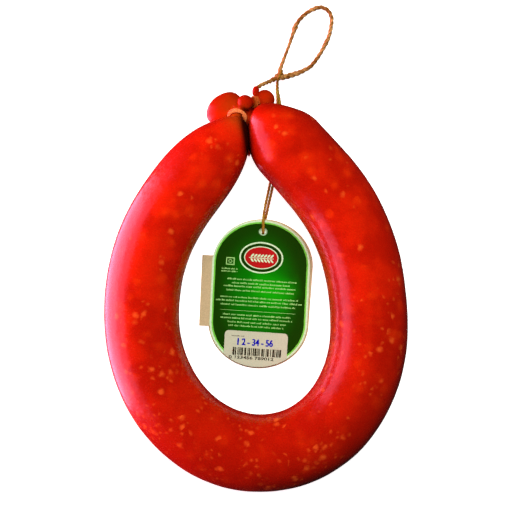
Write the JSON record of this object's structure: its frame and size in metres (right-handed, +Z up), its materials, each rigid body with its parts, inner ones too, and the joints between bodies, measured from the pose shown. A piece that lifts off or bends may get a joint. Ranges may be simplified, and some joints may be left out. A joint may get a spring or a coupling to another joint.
{
  "type": "ring-shaped cured sausage",
  "caption": "Ring of cured sausage in a red natural casing with tied ends, a twine loop to hang it by and an oval card tag on a string.",
  "frame": {"origin": "bottom centre of the ring as it lies on its side on a table", "axes": "+Z up from the table, +Y from the bottom of the ring towards its tied ends, +X to the right seen from above"},
  "size_m": [0.1822, 0.2949, 0.048],
  "materials": {
    "casing": "satin cured sausage in a red natural casing with pale specks of fat",
    "twine": "matt natural plant-fibre twine",
    "card": "coated card, printed green with a cream edge",
    "label": "matt paper sticker"
  },
  "bodies": {
    "root": {"sausage": "casing", "neck_tie": "twine", "tail_tie": "twine", "hanging_loop": "twine", "tag_string": "twine", "tag_card": "card", "tag_sticker": "label"}
  },
  "joints": []
}
